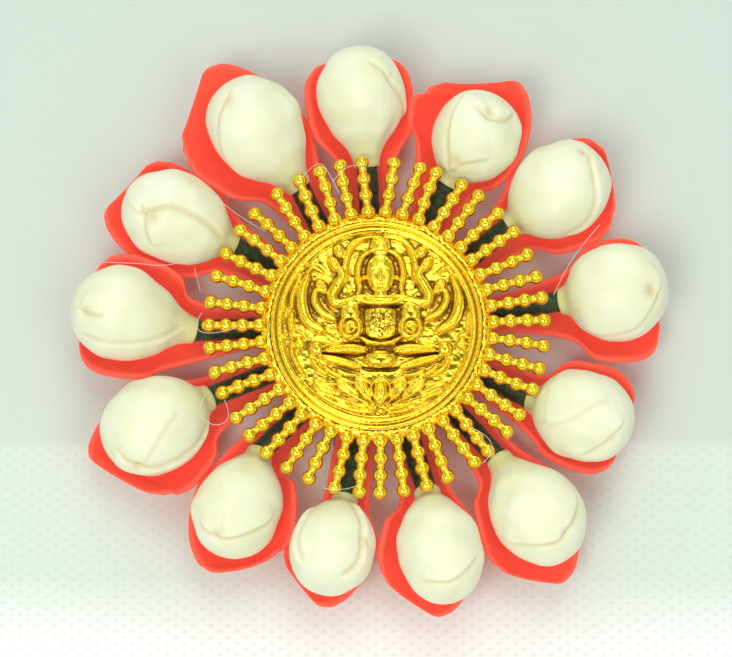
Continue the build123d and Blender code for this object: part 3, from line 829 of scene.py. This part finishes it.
def build_bud(index):
    bud = buds[index]
    neck, axis, above, side = bud_frame(bud)
    spans = len(bud_profile) - 1
    share = np.linspace(0.0, 1.0, bud_rows)
    places = spans * (0.6 * share + 0.4 * (1.0 - (1.0 - share) ** 2))
    places[-1] = spans - 0.02
    outline = bud_outline(bud, places)
    turn = np.linspace(-math.pi, math.pi, bud_columns, endpoint=False)
    outward = np.cos(turn)[None, :, None] * above + np.sin(turn)[None, :, None] * side
    surface = neck + outline[:, 0][:, None, None] * axis + outline[:, 1][:, None, None] * outward
    slope = np.gradient(outline, axis=0)
    normal = unit(slope[:, 0][:, None, None] * outward - slope[:, 1][:, None, None] * axis)
    points, normals = surface.reshape(-1, 3), normal.reshape(-1, 3)
    proud = np.zeros(len(points))
    crease = np.zeros(len(points))
    for fold in folds:
        if fold.bud != index:
            continue
        spots = even_curve(fold.line, 30)
        line = on_bud(bud, outline, spots[:, 0], spots[:, 1])
        distance, place, nearest, heading = line_distance(points, line)
        left = np.einsum("ij,ij->i", np.cross(normals, heading), points - nearest) > 0.0
        signed = np.where(left, distance, -distance)
        ends = smooth_step(place, 0.0, lip_end_share) * smooth_step(1.0 - place, 0.0, lip_end_share)
        lip = smooth_step(signed, *lip_edge) * np.exp(-np.clip(signed, 0.0, None) / fold.spread)
        groove = np.exp(-(((signed + groove_place) / groove_width) ** 2))
        proud += ends * fold.height * (lip - groove_share * groove)
        # The groove is also painted with shade, stronger where the lip is higher
        crease = np.maximum(crease, groove_share * ends * groove * fold.height / full_lip)
    for dent in dents:
        if dent.bud != index:
            continue
        middle = on_bud(bud, outline, [dent.along], [dent.turn])[0]
        near = np.exp(-((np.linalg.norm(points - middle, axis=1) / dent.radius) ** 2))
        proud -= dent.depth * near
        # A dent is painted with shade too
        crease = np.maximum(crease, dent.stain * near**2)
    reach = np.repeat(outline[:, 0] / outline[-1, 0], bud_columns)
    wave = np.tile(turn, bud_rows)
    around = 1.6 * np.cos(wave) + 2.0 * np.sin(wave) + 5.0
    swell = rough(6.6 * reach + 11.0 * index, around, 1.0, bud_seed + index)
    proud += swell_height * swell * smooth_step(reach, 0.05, 0.35) * smooth_step(1.02 - reach, 0.0, 0.2)
    points = points + proud[:, None] * normals
    tip = points.reshape(bud_rows, bud_columns, 3)[-1].mean(0)
    base = points.reshape(bud_rows, bud_columns, 3)[0].mean(0)
    faces = grid_quads(bud_rows, bud_columns, True)
    tip_at, base_at = len(points), len(points) + 1
    last = (bud_rows - 1) * bud_columns
    for step in range(bud_columns):
        after = (step + 1) % bud_columns
        faces.append([last + step, tip_at, last + after])
        faces.append([after, base_at, step])
    points = np.vstack((points, tip, base))
    node = f"bud_{index + 1:02d}"
    piece = make_piece(f"{node}_bloom", points, faces, bud_cream, [node])
    streaks = streak_green * (0.6 + 0.4 * np.cos(streak_count * wave))
    shade = neck_green * np.exp(-((reach / neck_green_end) ** 2))
    shade += streaks * np.exp(-((reach / streak_green_end) ** 2))
    grain = np.column_stack((vein_rows * reach, vein_columns * np.cos(wave), vein_columns * np.sin(wave)))
    note_values(piece, "neck", np.append(np.clip(shade, 0.0, 1.0), (0.0, 1.0)))
    note_values(piece, "crease", np.append(np.clip(crease, 0.0, 1.0), (crease[-1], 0.0)))
    note_values(piece, "grain", np.vstack((grain, grain[-1], grain[0])))


# Petals
petal_rows = 64
petal_half_columns = 22
rim_columns = 4
end_round = 0.45
edge_wave = 0.035
edge_wave_length = 3.0
petal_seed = 60
rim_highlight_share = 0.8


def bud_underside(bud):
    length, half = bud_length * bud.length, bud_half_width * bud.width
    rise, level = math.sin(math.radians(bud.tilt)), math.cos(math.radians(bud.tilt))
    outline = []
    for along, share in bud_shares(bud):
        distance = along * length * level + share * half * rise
        height = stem_z + along * length * rise - share * half * level
        outline.append((distance, height))
    return np.array(outline)


def base_bearing(index):
    return stem_phase + index * 360.0 / stem_count


def petal_sections(index):
    """Rows of a petal: floor point, half widths and curls of both sides."""
    bud, row = buds[index], petals[index]
    neck = neck_point(bud)
    under = bud_underside(bud)
    floor_z = under[:, 1].min() - bud_gap
    length = bud_length * bud.length * math.cos(math.radians(bud.tilt))
    outward, across = polar(1.0, bud.bearing, 0.0), polar(1.0, bud.bearing + 90.0, 0.0)
    base = polar(petal_base_r, base_bearing(index), petal_base_z)
    middle = 0.5 * (base + neck)
    middle[2] = 0.7 * petal_base_z + 0.3 * floor_z
    hug = bud_half_width * bud.width + bud_gap
    rows = [
        (*base, base_halves[0], base_halves[0], *base_curls),
        (*middle, base_halves[1], base_halves[1], *base_curls),
    ]
    for station in stations:
        along = station.along * (1.0 + row.reach) * length
        skew = row.skew * bud_half_width * station.along**3
        room = np.interp(along, under[:, 0], under[:, 1]) - bud_gap - floor_z
        height = floor_z + min(station.rise * petal_rise, under_share * room)
        point = np.array((neck[0], neck[1], height)) + outward * along + across * skew
        side_ccw = hug * row.room_ccw * station.width
        side_cw = hug * row.room_cw * station.width
        rows.append((*point, side_ccw, side_cw, row.curl_ccw * station.curl, row.curl_cw * station.curl))
    return np.array(rows)


def build_petal(index):
    rows = even_curve(petal_sections(index), petal_rows)
    path = rows[:, :3]
    run = np.gradient(path, axis=0)
    tangent = unit(run * (1.0, 1.0, section_lean))
    level = unit(run * (1.0, 1.0, 0.0))
    lateral = np.column_stack((-level[:, 1], level[:, 0], np.zeros(petal_rows)))
    upward = np.cross(tangent, lateral)
    walked = np.concatenate(([0.0], np.cumsum(np.linalg.norm(np.diff(path, axis=0), axis=1))))
    from_end = np.minimum(walked, walked[-1] - walked)
    blunt = 1.0 - np.clip(from_end / end_round, 0.0, 1.0)
    wall = petal_wall * np.sqrt(np.clip(1.0 - blunt**2, 0.02, 1.0))
    wave = edge_wave * rough(walked, np.full(petal_rows, 9.0 * index), edge_wave_length, petal_seed + index)
    loop = []
    edge = []
    shares = np.linspace(-1.0, 1.0, 2 * petal_half_columns + 1)
    for share in shares:
        loop.append((share, 0.0))
        edge.append(abs(share))
    for step in range(1, rim_columns):
        loop.append((1.0, step / rim_columns))
        edge.append(1.0)
    for share in shares[::-1]:
        loop.append((share, 1.0))
        edge.append(abs(share))
    for step in range(rim_columns - 1, 0, -1):
        loop.append((-1.0, step / rim_columns))
        edge.append(1.0)
    columns = len(loop)
    points = np.zeros((petal_rows, columns, 3))
    for place, (share, depth) in enumerate(loop):
        side = rows[:, 3] if share >= 0.0 else rows[:, 4]
        curl = rows[:, 5] if share >= 0.0 else rows[:, 6]
        whole = np.radians(curl * (1.0 + wave * (1.0 if share >= 0.0 else -1.0)))
        round_r = side / np.sin(np.radians(np.minimum(curl, 90.0)))
        puff = 0.5 * math.sin(math.pi * depth) * (wall / round_r)
        angle = share * whole + np.sign(share) * (puff if abs(share) == 1.0 else 0.0)
        reach = round_r + 0.5 * petal_wall + (depth - 0.5) * wall
        x = reach * np.sin(angle)
        y = round_r - reach * np.cos(angle)
        points[:, place] = path + x[:, None] * lateral + y[:, None] * upward
    faces = grid_quads(petal_rows, columns, True)
    faces += end_faces(petal_rows, columns)
    node = f"petal_{index + 1:02d}"
    piece = make_piece(f"{node}_foam", points.reshape(-1, 3), faces, petal_coral, [node])
    # The rims get a painted highlight
    rim = np.tile(smooth_step(np.array(edge), 0.93, 1.0), petal_rows)
    note_values(piece, "rim", rim * rim_highlight_share)


# Stems
stem_rows = 120
stem_columns = 26
thread_turns = 34
thread_ridge = 0.07
thread_looseness = 0.03
thread_cell = 1.1
stem_seed = 80
wire_share = 0.93
neck_overlap = 0.35


def build_stem(index):
    bud = buds[index]
    start = polar(stem_start_r, base_bearing(index), stem_z)
    heading = neck_point(bud) - start
    length = np.linalg.norm(heading) + neck_overlap
    axis = heading / np.linalg.norm(heading)
    side = unit(np.array((-axis[1], axis[0], 0.0)))
    above = np.cross(axis, side)
    along = np.linspace(0.0, 1.0, stem_rows)
    turn = np.linspace(0.0, 2.0 * math.pi, stem_columns, endpoint=False)
    u, v = np.meshgrid(along, turn, indexing="ij")
    ridges = 0.5 + 0.5 * np.cos(2.0 * math.pi * thread_turns * u - v)
    rolled = v.ravel() * 2.0 + 7.0 * index
    loose = rough(u.ravel() * length, rolled, thread_cell, stem_seed + index).reshape(u.shape)
    radius = stem_r * (wire_share + thread_looseness * loose) + thread_ridge * ridges
    ring = np.cos(v)[..., None] * side + np.sin(v)[..., None] * above
    points = start + (u * length)[..., None] * axis + radius[..., None] * ring
    faces = grid_quads(stem_rows, stem_columns, True)
    faces += end_faces(stem_rows, stem_columns)
    node = f"stem_{index + 1:02d}"
    make_piece(f"{node}_thread", points.reshape(-1, 3), faces, stem_green, [node])


build_medal()
build_rays()
for index in range(len(buds)):
    build_bud(index)
    build_petal(index)
    build_stem(index)
pin_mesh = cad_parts["hair_pin"].data
pin_mesh.materials.clear()
pin_mesh.materials.append(pin_steel)

# Clear thread wisps that cross the buds and rays, as points along each strand
wisp_r = 0.038
wisps = (
    ((-27.6, 19.0, 15.4), (-24.6, 19.2, 15.8), (-20.6, 16.0, 13.6), (-16.6, 14.0, 12.6)),
    ((-11.6, 22.0, 12.2), (-8.9, 25.6, 12.8), (-6.8, 22.6, 12.4), (-5.6, 20.0, 12.2)),
    ((-6.6, 21.8, 12.4), (-3.9, 25.6, 13.0), (-1.4, 23.6, 12.6)),
    ((33.4, 14.6, 14.6), (31.2, 12.2, 13.6), (28.4, 8.4, 12.8), (26.6, 4.4, 12.2)),
    ((-27.4, 8.6, 11.4), (-27.0, 6.6, 10.4), (-26.6, 5.4, 9.6)),
    ((-41.4, 8.6, 16.2), (-36.0, 8.4, 16.8), (-31.0, 8.0, 15.4), (-27.6, 9.4, 14.8)),
    ((-26.2, 1.6, 12.6), (-27.6, -0.8, 12.8), (-24.6, -1.8, 12.4), (-21.0, -0.6, 12.2)),
    ((-25.4, -10.8, 12.8), (-27.0, -13.4, 13.0), (-24.0, -15.8, 12.8), (-21.4, -14.2, 12.4),
     (-22.6, -11.6, 12.6)),
    ((13.8, -15.6, 12.2), (16.4, -16.6, 12.4), (17.6, -19.4, 12.2), (15.6, -21.0, 12.0)),
    ((-8.0, -24.6, 12.2), (-5.4, -25.4, 12.6), (-2.6, -24.2, 12.4)),
)


def build_wisp(name, route):
    line = bpy.data.curves.new(name, "CURVE")
    line.dimensions = "3D"
    line.bevel_depth = wisp_r * MM
    line.bevel_resolution = 2
    line.resolution_u = 8
    spline = line.splines.new("NURBS")
    spline.points.add(len(route) - 1)
    for point, spot in zip(spline.points, route):
        point.co = (*(Vector(spot) * MM), 1.0)
    spline.order_u = 3
    spline.use_endpoint_u = True
    line.materials.append(thread_clear)
    piece = new_object(name, line)
    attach(piece, BODY)


for count, route in enumerate(wisps, 1):
    build_wisp(f"thread_wisp_{count:02d}", route)


# Floor, lights and camera
# The floor is a pale backdrop board, with a white cloth in front
floor_half = 1.5
cloth_edge_y = -0.0165
cloth_edge_soft = 0.0008
cloth_white_y = -0.047
cloth_shaded_y = -0.037
weave_pitch = 0.00132
weave_row = 0.00087
weave_knot_share = 0.35


def build_floor():
    mesh = bpy.data.meshes.new("floor")
    corners = [(floor_half * x, floor_half * y, 0.0) for x, y in ((-1, -1), (1, -1), (1, 1), (-1, 1))]
    mesh.from_pydata(corners, [], [(0, 1, 2, 3)])
    material, tree, shader, place = new_material("floor_pale")
    split = add_node(tree, "ShaderNodeSeparateXYZ", {0: place})
    y = split.outputs["Y"]
    cloth = ramp_node(tree, y, cloth_edge_y + cloth_edge_soft, cloth_edge_y - cloth_edge_soft)
    waves = []
    for axis, pitch in (("X", weave_pitch), ("Y", weave_row)):
        angle = math_node(tree, "MULTIPLY", split.outputs[axis], math.pi / pitch)
        waves.append(math_node(tree, "COSINE", angle))
    knots = ramp_node(tree, math_node(tree, "MULTIPLY", *waves), 0.3, 0.9, 0.0, weave_knot_share)
    near_brooch = ramp_node(tree, y, cloth_white_y, cloth_shaded_y)
    white = mix_node(tree, near_brooch, cloth_white, cloth_shaded)
    woven = mix_node(tree, knots, white, cloth_knots)
    colour = mix_node(tree, cloth, backdrop_green, woven)
    set_inputs(tree, shader, {"Base Color": colour, "Roughness": 0.8})
    mesh.materials.append(material)
    floor = new_object("floor", mesh)


def toward(azimuth, elevation):
    """Direction of an azimuth from the front, counted toward +X, and an elevation."""
    a, e = math.radians(azimuth), math.radians(elevation)
    return Vector((math.sin(a) * math.cos(e), -math.cos(a) * math.cos(e), math.sin(e)))


# Soft lamps: azimuth and elevation in degrees, distance and size in metres, power in watts
lamps = (
    Lamp("key", -35.0, 62.0, 0.60, 0.28, 1.3),
    Lamp("fill", 50.0, 58.0, 0.70, 0.40, 0.5),
    Lamp("top", 170.0, 66.0, 0.65, 0.30, 0.6),
)


def build_lamp(lamp):
    light = bpy.data.lights.new(lamp.name, "AREA")
    light.shape = "DISK"
    light.size = lamp.size
    light.energy = lamp.power
    holder = new_object(lamp.name, light)
    back = toward(lamp.azimuth, lamp.elevation)
    holder.location = back * lamp.distance
    holder.rotation_euler = back.to_track_quat("Z", "Y").to_euler()


def sky_patch(tree, place, azimuth, elevation, radius, soft):
    """1 inside a round patch of the sky, fading to 0 past its edge."""
    inputs = {0: place, 1: toward(azimuth, elevation)}
    aim = add_node(tree, "ShaderNodeVectorMath", inputs, operation="DOT_PRODUCT")
    inner, outer = math.cos(math.radians(radius)), math.cos(math.radians(radius + soft))
    return ramp_node(tree, aim.outputs["Value"], outer, inner)


# Patches of the sky: azimuth, elevation, radius and width of the edge in degrees
wall_patch = (180.0, 12.0, 16.0, 10.0)
wall_glow = 1.6
viewer_patch = (0.0, 78.0, 17.0, 5.0)
viewer_shade = 0.92
sky_colour = (0.97, 1.0, 0.96)


def build_world():
    """A bright soft ceiling over a dark horizon, a pale wall behind, and the dark place from
    which the brooch is looked at, which its beads mirror."""
    world = bpy.data.worlds.new("studio")
    bpy.context.scene.world = world
    world.use_nodes = True
    tree = world.node_tree
    place = add_node(tree, "ShaderNodeTexCoord", {}).outputs["Generated"]
    clouds = noise_node(tree, place, 3.0, 2.0, 0.5)
    height = add_node(tree, "ShaderNodeSeparateXYZ", {0: place}).outputs["Z"]
    ceiling = ramp_node(tree, height, 0.0, 0.75, 0.30, 1.0)
    varied = ramp_node(tree, clouds, 0.40, 0.60, 0.45, 1.2)
    level = math_node(tree, "MULTIPLY", ceiling, varied)
    wall = sky_patch(tree, place, *wall_patch)
    level = math_node(tree, "ADD", level, math_node(tree, "MULTIPLY", wall, wall_glow))
    viewer = sky_patch(tree, place, *viewer_patch)
    shaded = math_node(tree, "MULTIPLY", viewer, viewer_shade)
    level = math_node(tree, "MULTIPLY", level, math_node(tree, "SUBTRACT", 1.0, shaded))
    set_inputs(tree, tree.nodes["Background"], {"Color": (*sky_colour, 1.0), "Strength": level})


photo_width = 732
photo_height = 657
mm_per_pixel = 0.15
medal_pixel = (376.5, 324.5)
camera_elevation = 80.0
camera_distance = 330.0
sensor_width = 36.0


def build_camera():
    camera = bpy.data.cameras.new("camera")
    camera.sensor_width = sensor_width
    camera.lens = sensor_width * camera_distance / (photo_width * mm_per_pixel)
    camera.clip_start = 0.01
    camera.clip_end = 20.0
    eye = new_object("camera", camera)
    elevation = math.radians(camera_elevation)
    back = Vector((0.0, -math.cos(elevation), math.sin(elevation)))
    up = Vector((0.0, math.sin(elevation), math.cos(elevation)))
    right = Vector((1.0, 0.0, 0.0))
    aside = (photo_width / 2 - medal_pixel[0]) * mm_per_pixel
    below = (medal_pixel[1] - photo_height / 2) * mm_per_pixel
    target = Vector((0.0, 0.0, medal_top_z)) + right * aside + up * below
    eye.location = (target + back * camera_distance) * MM
    eye.rotation_euler = back.to_track_quat("Z", "Y").to_euler()
    bpy.context.scene.camera = eye


build_floor()
build_world()
for lamp in lamps:
    build_lamp(lamp)
build_camera()
scene = bpy.context.scene
scene.view_settings.view_transform = "Standard"
scene.view_settings.exposure = 0.0

bpy.context.view_layer.update()
